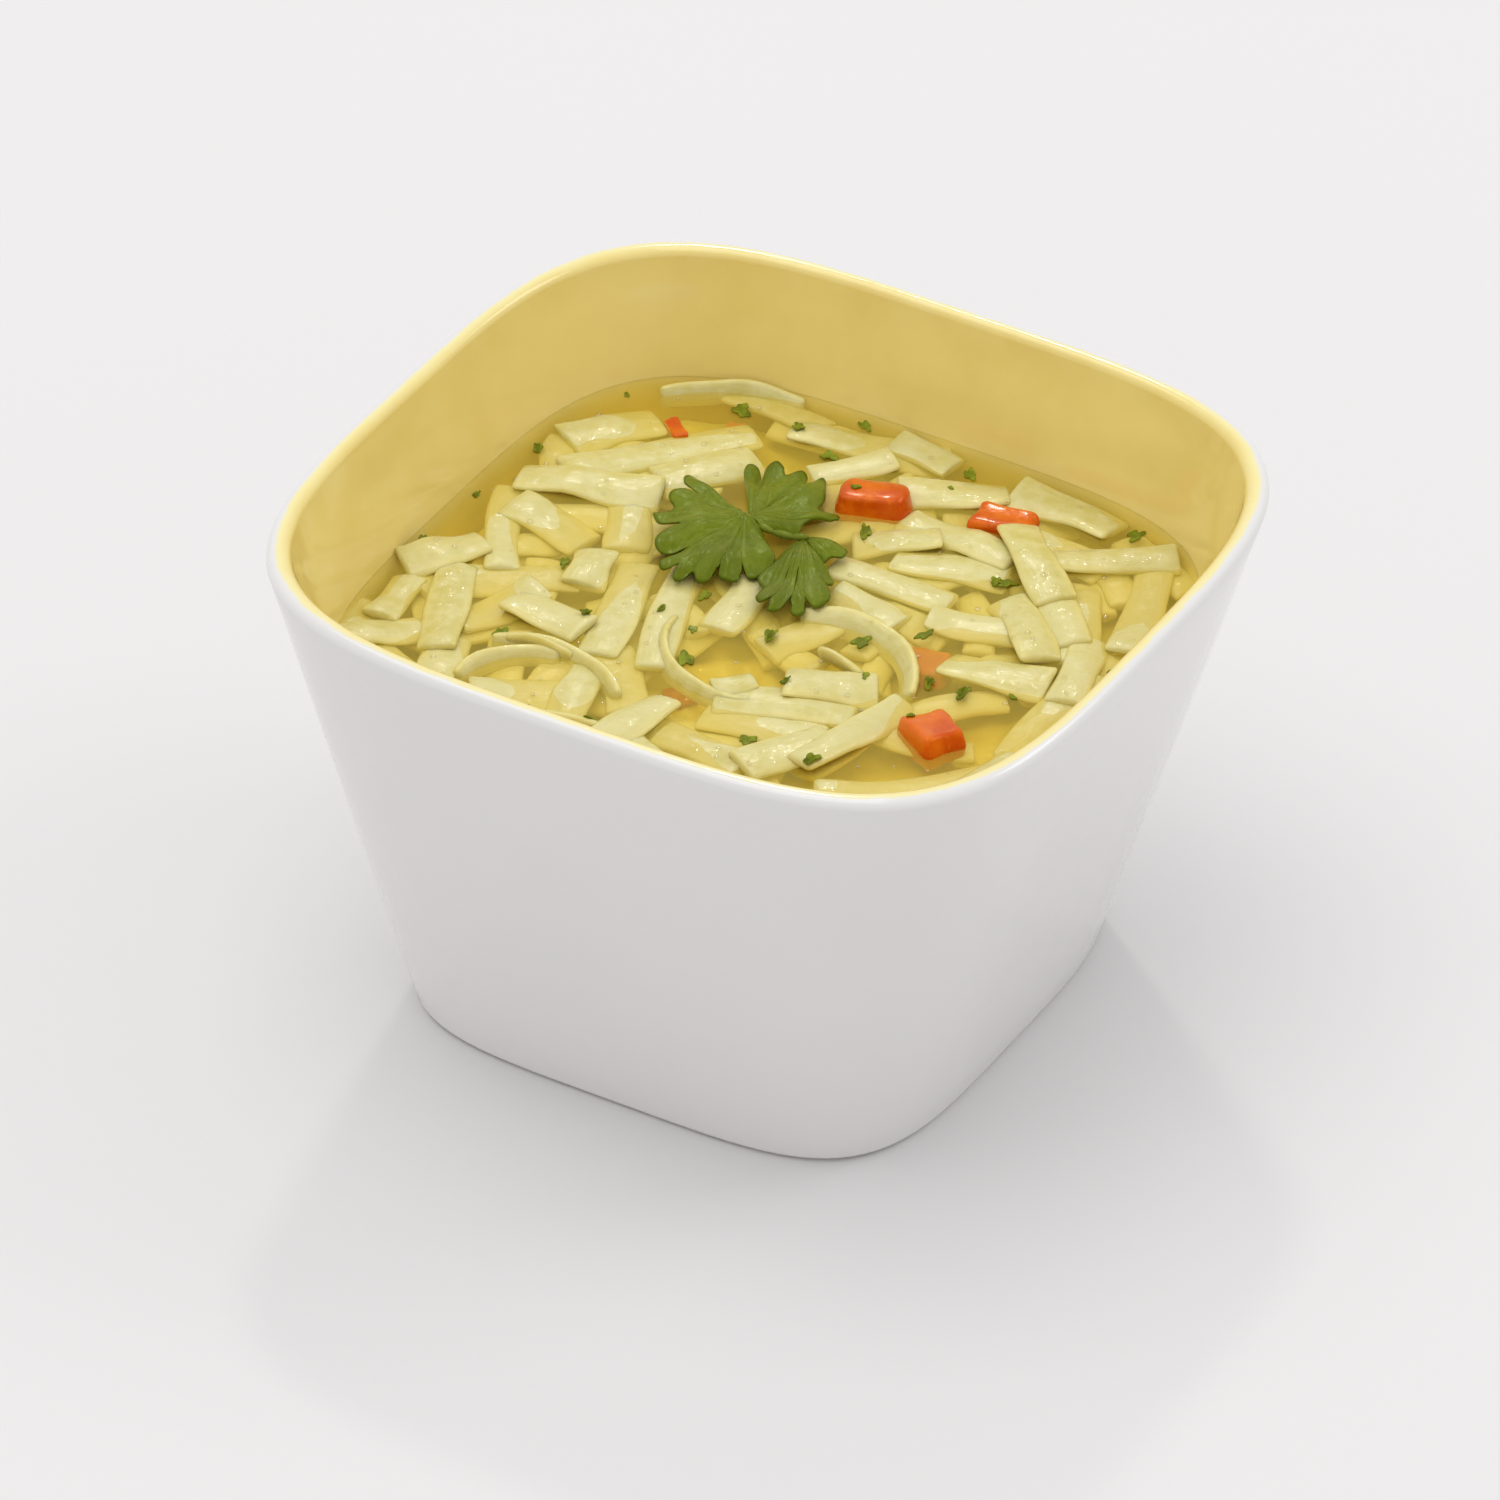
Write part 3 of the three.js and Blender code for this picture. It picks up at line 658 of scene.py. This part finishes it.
for node, (size, taper, place, turn, tilt) in carrot_dice.items():
    dice = cut_carrot(node + "_cooked", size, taper, place, turn, tilt, carrot_rng)
    dice.data.materials.append(carrot_flesh)
    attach(dice, "root")
    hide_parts(node)
    carrots.append(dice)
bits = [cut_carrot("sunk_bit", *bit, carrot_rng) for bit in sunk_bits]
bpy.ops.object.select_all(action="DESELECT")
for bit in bits:
    bit.select_set(True)
bpy.context.view_layer.objects.active = bits[0]
bpy.ops.object.join()
sunk_carrot = bpy.context.object
sunk_carrot.name = "carrot_bits_sunk"
sunk_carrot.data.materials.clear()
sunk_carrot.data.materials.append(carrot_flesh)
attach(sunk_carrot, "root")

# ---- Parsley sprig ------------------------------------------------------------------------------
# One sprig of flat-leaf parsley laid on top: three fan-shaped leaflets with round lobes, and a small
# one below, on a thin pale stalk. The blades are thin and a little wavy, with painted shade at their
# margins.
drop_height = 15.0
soup_trees = []
for piece in (noodles, broth, *carrots, bowl):
    points = [vertex.co.copy() for vertex in piece.data.vertices]
    faces = [tuple(polygon.vertices) for polygon in piece.data.polygons]
    soup_trees.append(BVHTree.FromPolygons(points, faces))


def land(x, y):
    """Where something let fall over the soup at x and y lands, and the way the surface faces."""
    start = Vector((x, y, broth_level + drop_height)) * MM
    hits = [tree.ray_cast(start, Vector((0, 0, -1))) for tree in soup_trees]
    spot, facing = max((hit for hit in hits if hit[0] is not None), key=lambda hit: hit[0].z)[:2]
    return spot, facing if facing.z > 0 else -facing


sprig_place = (3.0, 1.6)
sprig_z = broth_level + 2.1
blade_rows = 18
blade_thickness = 0.28
LEAFLETS = {
    # joint, lift, tilt along X and Y, then the margin from lobe to lobe
    "left": ((12.9, 11.0), 0.5, (0.02, 0.05), [
        (13.2, 11.6), (13.7, 14.0), (14.7, 16.6), (16.2, 18.8), (17.7, 21.0), (18.1, 22.6), (17.0, 22.9),
        (15.4, 21.7), (14.3, 18.7), (14.1, 21.0), (13.1, 22.2), (11.6, 22.1), (10.1, 20.4), (8.9, 21.6),
        (8.2, 22.5), (7.1, 21.6), (6.5, 20.3), (7.4, 17.7), (5.7, 18.8), (4.4, 19.1), (2.5, 19.0),
        (1.3, 17.8), (1.7, 16.1), (5.2, 14.1), (1.4, 15.4), (-0.6, 15.7), (-2.4, 15.5), (-2.8, 14.4),
        (-0.6, 13.6), (-3.1, 13.0), (-3.0, 11.9), (-0.5, 11.4), (-1.6, 10.1), (-0.7, 9.1), (1.6, 9.0),
        (6.0, 10.3), (2.4, 8.9), (0.6, 7.9), (0.5, 6.5), (2.0, 5.7), (5.2, 7.4), (3.0, 5.0), (4.0, 3.7),
        (5.8, 3.1), (7.6, 3.5), (9.0, 5.0), (10.6, 6.5), (12.2, 8.2), (12.9, 9.9),
    ]),
    "right": ((13.2, 10.4), 0.3, (-0.03, 0.04), [
        (12.6, 8.6), (13.2, 6.6), (13.9, 4.6), (15.2, 4.0), (16.6, 4.3), (18.2, 4.0), (19.6, 2.9),
        (20.9, 1.4), (21.9, 2.0), (20.9, 4.3), (23.4, 4.9), (25.4, 5.9), (27.8, 7.1), (28.9, 8.4),
        (26.0, 8.8), (20.4, 9.3), (25.2, 9.3), (27.4, 9.9), (27.8, 11.0), (25.6, 12.0), (26.9, 13.2),
        (27.5, 14.6), (26.2, 15.2), (24.2, 14.5), (20.4, 12.9), (24.0, 15.1), (25.4, 16.5), (24.9, 17.5),
        (23.3, 17.0), (21.4, 15.3), (19.6, 13.4), (18.0, 12.3), (15.8, 11.9), (13.8, 11.5),
    ]),
    "lower": ((12.9, 2.0), 0.1, (0.01, -0.03), [
        (11.4, 2.8), (9.8, 3.6), (7.8, 3.7), (6.0, 3.2), (5.0, 1.2), (3.4, 3.3), (2.1, 2.8), (1.3, 1.7),
        (0.5, 0.7), (-1.7, 1.0), (-2.3, -0.2), (-0.3, -1.0), (-3.0, -1.4), (-2.8, -2.4), (-1.3, -2.8),
        (2.0, -2.7), (-1.1, -3.9), (-1.4, -5.1), (-0.3, -5.7), (1.6, -4.5), (0.6, -6.6), (2.0, -7.5),
        (3.7, -7.2), (5.1, -4.8), (6.5, -5.9), (8.0, -5.0), (8.6, -3.7), (6.4, -2.5), (9.3, -1.4),
        (11.2, 0.1), (12.8, 1.2),
    ]),
    "small": ((13.6, 2.2), 0.0, (0.0, -0.06), [
        (12.0, 0.4), (10.6, -0.9), (10.4, -2.2), (11.6, -2.9), (12.3, -4.1), (13.8, -4.0), (14.6, -2.8),
        (15.0, -1.2), (14.9, 0.6), (14.3, 1.6),
    ]),
}


def rounded(margin, steps):
    """A smooth line through the points of a margin, a few steps to each stretch."""
    line = []
    last = len(margin) - 1
    for i in range(last):
        a, b, c, d = (np.array(margin[min(max(k, 0), last)]) for k in (i - 1, i, i + 1, i + 2))
        for t in np.arange(steps) / steps:
            line.append(0.5 * (2 * b + (c - a) * t + (2 * a - 5 * b + 4 * c - d) * t * t
                               + (3 * b - a - 3 * c + d) * t ** 3))
    return line + [np.array(margin[-1])]


def grow_leaflet(name, joint, lift, tilt, margin, rng):
    """A blade fanned out from its joint to its margin, laid over whatever it rests on."""
    line = rounded(margin, 4)
    reaches = [math.dist(point, joint) for point in line]
    bpy.ops.object.select_all(action="DESELECT")
    bpy.ops.mesh.primitive_grid_add(x_subdivisions=blade_rows, y_subdivisions=len(line) - 1, size=2)
    blade = bpy.context.object
    blade.name = name
    vein = blade.data.attributes.new("vein", "FLOAT", "POINT")
    rim = blade.data.attributes.new("margin", "FLOAT", "POINT")
    phase = rng.uniform(0, 6)
    for vertex in blade.data.vertices:
        out = (vertex.co.x + 1) / 2
        column = round((vertex.co.y + 1) / 2 * (len(line) - 1))
        x, y = np.array(joint) + (line[column] - np.array(joint)) * out
        nearby = reaches[max(0, column - 6):column + 7]
        lobe = (reaches[column] - min(nearby)) / max(nearby)
        main_vein = math.cos(column / len(line) * math.pi * 6) ** 16
        side_vein = math.cos(out * 11 + abs(math.cos(column / len(line) * math.pi * 6)) * 4) ** 12
        vein.data[vertex.index].value = max(main_vein, 0.5 * side_vein) * (1 - out ** 4)
        rim.data[vertex.index].value = out
        wave = 0.6 * math.sin(x * 0.6 + phase) * math.sin(y * 0.55 + 2 * phase) - 1.6 * lobe * out
        hang = -0.6 * out ** 3
        height = sprig_z + lift + wave + hang
        height += tilt[0] * (x - joint[0]) + tilt[1] * (y - joint[1])
        x += sprig_place[0]
        y += sprig_place[1]
        resting = land(x, y)[0].z / MM + 0.2 + lift * 0.5
        vertex.co = Vector((x, y, max(height, resting))) * MM
    bpy.ops.object.mode_set(mode="EDIT")
    bpy.ops.mesh.select_all(action="SELECT")
    bpy.ops.mesh.remove_doubles(threshold=0.01 * MM)
    bpy.ops.mesh.vertices_smooth(factor=0.5, repeat=2, xaxis=False, yaxis=False, zaxis=True)
    bpy.ops.object.mode_set(mode="OBJECT")
    thickness = blade.modifiers.new("blade", "SOLIDIFY")
    thickness.thickness = blade_thickness * MM
    thickness.offset = 1
    bpy.ops.object.modifier_apply(modifier="blade")
    bpy.ops.object.shade_smooth()
    return blade


parsley_rng = random.Random(11)
parsley_parts = [grow_leaflet("leaflet_" + name, *leaf, parsley_rng) for name, leaf in LEAFLETS.items()]
stalk_line = [(13.2, 11.2, 0.6), (12.9, 9.4, 0.1), (12.6, 6.5, -0.1), (12.8, 3.6, 0.0), (13.4, 1.9, 0.3)]
for start, end in zip(stalk_line, stalk_line[1:]):
    foot = Vector((start[0] + sprig_place[0], start[1] + sprig_place[1], sprig_z + start[2])) * MM
    head = Vector((end[0] + sprig_place[0], end[1] + sprig_place[1], sprig_z + end[2])) * MM
    bpy.ops.object.select_all(action="DESELECT")
    bpy.ops.mesh.primitive_uv_sphere_add(segments=12, ring_count=8, radius=0.55 * MM)
    length_of_stalk = (head - foot).length
    link_of_stalk = bpy.context.object
    bpy.ops.object.mode_set(mode="EDIT")
    bpy.ops.mesh.select_all(action="SELECT")
    bpy.ops.transform.resize(value=(1, 1, 0.5 + length_of_stalk / (1.1 * MM)))
    bpy.ops.object.mode_set(mode="OBJECT")
    along_stalk = (head - foot).to_track_quat("Z", "X").to_matrix().to_4x4()
    link_of_stalk.data.transform(Matrix.Translation((foot + head) / 2) @ along_stalk)
    bpy.ops.object.shade_smooth()
    stalk_vein = link_of_stalk.data.attributes.new("vein", "FLOAT", "POINT")
    stalk_vein.data.foreach_set("value", [1.0] * len(link_of_stalk.data.vertices))
    link_of_stalk.data.attributes.new("margin", "FLOAT", "POINT")
    parsley_parts.append(link_of_stalk)
bpy.ops.object.select_all(action="DESELECT")
for part in parsley_parts:
    part.select_set(True)
bpy.context.view_layer.objects.active = parsley_parts[0]
bpy.ops.object.join()
parsley = bpy.context.object
parsley.name = "parsley_sprig_fresh"

parsley_leaf, leaf_shader = new_material("parsley_leaf")
leaf_share = remap(parsley_leaf, noise(parsley_leaf, 110, 3), 0.35, 0.65)
leaf = blend(parsley_leaf, leaf_share, (0.105, 0.135, 0.001, 1), (0.155, 0.195, 0.008, 1))
leaf_speckle = remap(parsley_leaf, noise(parsley_leaf, 1400, 3), 0.4, 0.7, 0, 0.35)
leaf = blend(parsley_leaf, leaf_speckle, leaf, (0.075, 0.105, 0.002, 1))
vein_share = add_math(parsley_leaf, "MULTIPLY", attribute(parsley_leaf, "vein"), 0.24)
leaf = blend(parsley_leaf, vein_share, leaf, (0.26, 0.30, 0.06, 1))
# Painted shade: the blade is darkened towards its margin, where the leaf's edge and underside would lie in
# shade.
margin_painted_shade = remap(parsley_leaf, attribute(parsley_leaf, "margin"), 0.95, 1.0, 0, 0.4)
leaf = blend(parsley_leaf, margin_painted_shade, leaf, (0.045, 0.065, 0.004, 1))
link(parsley_leaf, leaf, leaf_shader.inputs["Base Color"])
leaf_relief = add_math(
    parsley_leaf, "SUBTRACT", noise(parsley_leaf, 700, 3), attribute(parsley_leaf, "vein")
)
link(parsley_leaf, bump(parsley_leaf, leaf_relief, 0.5, 0.0004), leaf_shader.inputs["Normal"])
leaf_shader.inputs["Roughness"].default_value = 0.3
leaf_shader.inputs["Specular IOR Level"].default_value = 0.35
leaf_shader.inputs["Specular Tint"].default_value = (0.75, 1.0, 0.25, 1)
leaf_shader.inputs["Subsurface Weight"].default_value = 0.12
leaf_shader.inputs["Subsurface Radius"].default_value = (0.4, 1.0, 0.1)
leaf_shader.inputs["Subsurface Scale"].default_value = 0.4 * MM
parsley.data.materials.clear()
parsley.data.materials.append(parsley_leaf)
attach(parsley, "root")
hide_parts("parsley_sprig")

# ---- Chopped herb -------------------------------------------------------------------------------
# Bits of chopped parsley leaf, about one to four millimetres across, ragged and some crumpled. They lie
# where they fell on the noodles, float on the broth or cling to the wall.
HERB_BITS = [
    # x, y, size and turn
    (-7.6, 48.7, 1.4, 20), (-6.6, 47.3, 1, 70), (5, 47.9, 1.9, 10), (18.6, 46.4, 2.6, 30),
    (36, 42.7, 1.4, 45), (-2.7, 29.7, 2.8, 15), (-21, 28.5, 2.6, 150), (-12.6, 20.5, 2.2, 65),
    (-32.6, 8, 2.8, 40), (-6, 12.8, 2, 160), (0.4, 9.9, 2.6, 0), (-7, 7.4, 1.9, 50),
    (-13.6, 4.7, 3.8, 42), (-3.2, -2.3, 3.6, 10), (-25.2, -11.5, 3, 130), (-13, -10.1, 2, 140),
    (2, -13.1, 3.4, 170), (5.6, -15.9, 2.6, 75), (7.8, -19.4, 3.6, 155), (-5.2, -17.8, 2.2, 165),
    (-26.6, -21.9, 3.6, 172), (-1.8, -25.5, 3.2, 20), (-1.6, -30.4, 3.8, 5), (1.4, -36.3, 1.8, 60),
    (23.4, -21.5, 2.4, 10), (23.6, -23.1, 3, 130), (24.6, -0.9, 4, 25), (43.6, -6.3, 3.2, 35),
    (42.5, -32.3, 3.2, 0), (46.2, 11.4, 2.6, 60), (37.3, 11.9, 3.2, 100), (40.4, 18.5, 2.8, 100),
    (40.8, 27.5, 4, 40), (13, -44.5, 1.4, 0), (-34.2, 16.5, 1.4, 0), (29.9, 3.7, 1.6, 20),
    (-11.6, -28.1, 1.5, 40), (38.6, -6.1, 0.9, 0), (-37, -14.5, 2.4, 60), (-40, 12.5, 2.6, 20),
]

herb_rng = random.Random(5)
bpy.ops.object.select_all(action="DESELECT")
bpy.ops.mesh.primitive_grid_add(x_subdivisions=8, y_subdivisions=8, size=2)
herb_blank = bpy.context.object
herb_bits = []
for x, y, size, turn in HERB_BITS:
    bpy.ops.object.select_all(action="DESELECT")
    bit = herb_blank.copy()
    bit.data = herb_blank.data.copy()
    bpy.context.scene.collection.objects.link(bit)
    bpy.context.view_layer.objects.active = bit
    bit.select_set(True)
    phase = [herb_rng.uniform(0, 6.28) for _ in range(3)]
    slender = herb_rng.uniform(0.35, 0.8)
    curl = herb_rng.uniform(0.02, 0.2)
    for vertex in bit.data.vertices:
        u, v = vertex.co.x, vertex.co.y
        disc_x, disc_y = u * math.sqrt(1 - v * v / 2), v * math.sqrt(1 - u * u / 2)
        round_at = math.atan2(disc_y, disc_x)
        ragged = 0.76 + 0.18 * math.sin(3 * round_at + phase[0]) + 0.16 * math.sin(5 * round_at + phase[1])
        x_here = disc_x * ragged * size / 2
        y_here = disc_y * ragged * size / 2 * slender
        z_here = size * curl * (abs(disc_y) - 0.3 + 0.4 * disc_x ** 2 + 0.2 * math.sin(4 * u + phase[2]))
        vertex.co = (x_here, y_here, z_here)
    spot, facing = land(x, y)
    lean = facing.to_track_quat("Z", "Y").to_matrix().to_4x4()
    lift = Matrix.Translation(spot + facing * (0.1 + 0.25 * size * curl) * MM)
    spin = Matrix.Rotation(math.radians(turn), 4, "Z")
    bit.data.transform(lift @ lean @ spin @ Matrix.Scale(MM, 4))
    thickness = bit.modifiers.new("blade", "SOLIDIFY")
    thickness.thickness = 0.2 * MM
    bpy.ops.object.modifier_apply(modifier="blade")
    bpy.ops.object.shade_smooth()
    herb_bits.append(bit)
bpy.ops.object.select_all(action="DESELECT")
for bit in herb_bits:
    bit.select_set(True)
bpy.context.view_layer.objects.active = herb_bits[0]
bpy.ops.object.join()
herbs = bpy.context.object
herbs.name = "chopped_herb"
bpy.data.objects.remove(herb_blank)

herb_leaf, herb_shader = new_material("chopped_herb_leaf")
herb_share = remap(herb_leaf, noise(herb_leaf, 500, 3), 0.35, 0.65)
herb_green = blend(herb_leaf, herb_share, (0.125, 0.145, 0.002, 1), (0.24, 0.28, 0.012, 1))
link(herb_leaf, herb_green, herb_shader.inputs["Base Color"])
link(herb_leaf, bump(herb_leaf, noise(herb_leaf, 1500, 2), 0.5, 0.0002), herb_shader.inputs["Normal"])
herb_shader.inputs["Roughness"].default_value = 0.4
herb_shader.inputs["Specular IOR Level"].default_value = 0.3
herb_shader.inputs["Specular Tint"].default_value = (0.8, 1.0, 0.25, 1)
herb_shader.inputs["Coat Weight"].default_value = 0.08
herb_shader.inputs["Coat Roughness"].default_value = 0.1
herbs.data.materials.clear()
herbs.data.materials.append(herb_leaf)
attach(herbs, "root")

# ---- Droplets -----------------------------------------------------------------------------------
# Beads of broth and fat that sit on the wet noodles and float on the surface. Each is a low dome,
# cut flat just under its widest round, and set into what it sits on.
droplet_count = 180
droplet_margin = 2.5
droplet_rng = random.Random(21)
bpy.ops.object.select_all(action="DESELECT")
bpy.ops.mesh.primitive_uv_sphere_add(segments=12, ring_count=6, radius=1)
bead = bpy.context.object
bpy.ops.object.mode_set(mode="EDIT")
bpy.ops.mesh.select_all(action="SELECT")
bpy.ops.mesh.bisect(plane_co=(0, 0, -0.25), plane_no=(0, 0, 1), use_fill=True, clear_inner=True)
bpy.ops.object.mode_set(mode="OBJECT")
beads = []
while len(beads) < droplet_count:
    x = droplet_rng.uniform(-46, 46)
    y = droplet_rng.uniform(-47, 47)
    if not inside_cavity(x, y, droplet_margin):
        continue
    spot, facing = land(x, y)
    size = droplet_rng.uniform(0.16, 0.5)
    made = bead.copy()
    made.data = bead.data.copy()
    bpy.context.scene.collection.objects.link(made)
    lean = facing.to_track_quat("Z", "Y").to_matrix().to_4x4()
    shape = Matrix.Diagonal((size * MM, size * MM * droplet_rng.uniform(0.8, 1.0), size * 0.6 * MM, 1))
    made.data.transform(Matrix.Translation(spot) @ lean @ shape)
    beads.append(made)
bpy.ops.object.select_all(action="DESELECT")
for made in beads:
    made.select_set(True)
bpy.context.view_layer.objects.active = beads[0]
bpy.ops.object.join()
droplets = bpy.context.object
droplets.name = "broth_droplets"
bpy.ops.object.shade_smooth()
bpy.data.objects.remove(bead)

droplet_wet, _ = new_material("broth_droplet")
droplet_nodes = droplet_wet.node_tree.nodes
droplet_nodes.remove(droplet_nodes["Principled BSDF"])
droplet_clear = add_node(droplet_wet, "ShaderNodeBsdfTransparent", {"Color": (0.99, 0.97, 0.88, 1)})
droplet_shine = add_node(droplet_wet, "ShaderNodeBsdfGlossy", {"Roughness": 0.05})
droplet_mirror = add_math(droplet_wet, "ADD", mirror_share(droplet_wet), 0.12)
droplet_skin = add_node(droplet_wet, "ShaderNodeMixShader", {0: droplet_mirror})
link(droplet_wet, droplet_clear.outputs[0], droplet_skin.inputs[1])
link(droplet_wet, droplet_shine.outputs[0], droplet_skin.inputs[2])
link(droplet_wet, droplet_skin.outputs[0], droplet_nodes["Material Output"].inputs["Surface"])
droplets.data.materials.clear()
droplets.data.materials.append(droplet_wet)
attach(droplets, "root")

# ---- Floor and light ----------------------------------------------------------------------------
# A plain pale floor under soft studio light: one broad window-like lamp high over the bowl's left, a
# small one behind it that puts the glints on what is wet, a weak fill and an even pale surround.
bpy.ops.object.select_all(action="DESELECT")
bpy.ops.mesh.primitive_plane_add(size=6)
floor = bpy.context.object
floor.name = "studio_floor"
floor_paint, floor_shader = new_material("pale_floor")
floor_share = noise(floor_paint, 3, 2)
floor_tone = blend(floor_paint, floor_share, (0.755, 0.74, 0.745, 1), (0.775, 0.76, 0.765, 1))
link(floor_paint, floor_tone, floor_shader.inputs["Base Color"])
floor_shader.inputs["Roughness"].default_value = 0.6
floor.data.materials.append(floor_paint)

world = bpy.data.worlds.new("studio_surround")
world.use_nodes = True
world.node_tree.nodes["Background"].inputs["Color"].default_value = (1.0, 1.0, 1.0, 1)
world.node_tree.nodes["Background"].inputs["Strength"].default_value = 0.76
bpy.context.scene.world = world


def soft_lamp(name, place, aim, size, power, colour):
    """A rectangular lamp at a place, turned to its aim; sizes in metres and power in watts."""
    data = bpy.data.lights.new(name, "AREA")
    data.shape = "RECTANGLE"
    data.size, data.size_y = size
    data.energy = power
    data.color = colour
    lamp = bpy.data.objects.new(name, data)
    bpy.context.scene.collection.objects.link(lamp)
    lamp.location = place
    lamp.rotation_euler = (Vector(aim) - Vector(place)).to_track_quat("-Z", "Y").to_euler()


lamp_aim = (0, 0, 0.05)
warm_white = (1.0, 0.99, 0.97)
plain_white = (1.0, 1.0, 1.0)
soft_lamp("window_lamp", (-0.3, 0.45, 2.2), lamp_aim, (1.9, 1.7), 15.0, warm_white)
soft_lamp("sparkle_lamp", (1.17, 0.72, 1.55), lamp_aim, (0.15, 0.15), 3.4, warm_white)
soft_lamp("side_lamp", (0.9, -0.9, 1.2), lamp_aim, (0.7, 0.5), 3.0, plain_white)
bpy.context.scene.view_settings.view_transform = "Standard"
